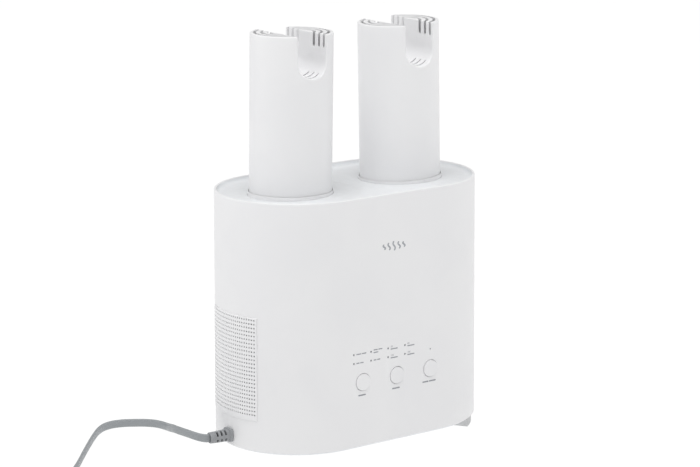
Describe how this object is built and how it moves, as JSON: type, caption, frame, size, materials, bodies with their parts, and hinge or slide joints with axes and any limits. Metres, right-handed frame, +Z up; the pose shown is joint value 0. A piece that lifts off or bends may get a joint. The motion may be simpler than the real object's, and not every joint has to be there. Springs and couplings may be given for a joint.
{
  "type": "boot dryer",
  "caption": "Free-standing warm-air boot dryer: rounded upright housing, side air intake, control panel and telescopic air tubes with U-shaped heads.",
  "frame": {"origin": "on the surface the dryer stands on, under the middle of its housing", "axes": "+Z up; -Y towards the control panel; -X towards the air intake and the mains lead"},
  "size_m": [0.4744, 0.2479, 0.3656],
  "materials": {
    "white_shell": "fine satin moulded ABS",
    "tray_white": "satin moulded ABS, a little cooler",
    "button_white": "smooth satin cap",
    "foot_rubber": "matte grey rubber",
    "steel": "zinc-plated",
    "felt": "dense felt",
    "dark_plastic": "glass-filled, matt",
    "aluminium": "rolled sheet",
    "circuit_board": "solder-masked laminate",
    "light_pipe": "smoked clear pin ends",
    "relief_grey": "matt flexible PVC",
    "lead_grey": "satin flexible PVC",
    "tie_black": "nylon strap"
  },
  "bodies": {
    "root": {"body_shell": "white_shell", "top_tray": "tray_white", "base_plate": "tray_white", "foot_left_front": "foot_rubber", "foot_left_rear": "foot_rubber", "foot_right_front": "foot_rubber", "foot_right_rear": "foot_rubber", "base_screw_1": "steel", "base_screw_2": "steel", "base_screw_3": "steel", "base_screw_4": "steel", "intake_grille": "white_shell", "intake_filter": "felt", "guide_sleeve_left": "tray_white", "guide_sleeve_right": "tray_white", "air_manifold": "dark_plastic", "blower_housing": "dark_plastic", "blower_motor": "steel", "heater_duct": "aluminium", "heating_element": "aluminium", "thermal_cutout": "steel", "control_board": "circuit_board", "light_pipe_timer": "light_pipe", "light_pipe_power": "light_pipe", "terminal_block": "dark_plastic", "strain_relief": "relief_grey", "power_cord": "lead_grey", "cord_coil": "lead_grey", "cord_tail": "lead_grey", "cord_tie": "tie_black", "plug_body": "lead_grey", "plug_pin_1": "steel", "plug_pin_2": "steel"},
    "tube_left": {"tube_left": "white_shell", "friction_band_left": "felt"},
    "tube_right": {"tube_right": "white_shell", "friction_band_right": "felt"},
    "button_mode": {"button_mode": "button_white"},
    "button_timer": {"button_timer": "button_white"},
    "button_power": {"button_power": "button_white"},
    "impeller": {"blower_impeller": "dark_plastic"}
  },
  "joints": [
    {"name": "tube_left_slide", "type": "slide", "parent": "root", "child": "tube_left", "axis": [0.0175, 0, 0.9998], "range_m": [-0.095, 0]},
    {"name": "tube_right_slide", "type": "slide", "parent": "root", "child": "tube_right", "axis": [-0.0175, 0, 0.9998], "range_m": [-0.095, 0]},
    {"name": "button_mode_press", "type": "slide", "parent": "root", "child": "button_mode", "axis": [0, 1, 0], "range_m": [0, 0.0015], "stiffness_N_per_m": 600, "springref_m": -0.001},
    {"name": "button_timer_press", "type": "slide", "parent": "root", "child": "button_timer", "axis": [0, 1, 0], "range_m": [0, 0.0015], "stiffness_N_per_m": 600, "springref_m": -0.001},
    {"name": "button_power_press", "type": "slide", "parent": "root", "child": "button_power", "axis": [0, 1, 0], "range_m": [0, 0.0015], "stiffness_N_per_m": 600, "springref_m": -0.001},
    {"name": "impeller_spin", "type": "hinge", "parent": "root", "child": "impeller", "pos_m": [-0.038, 0, 0.033], "axis": [0, 0, 1], "continuous": true}
  ]
}
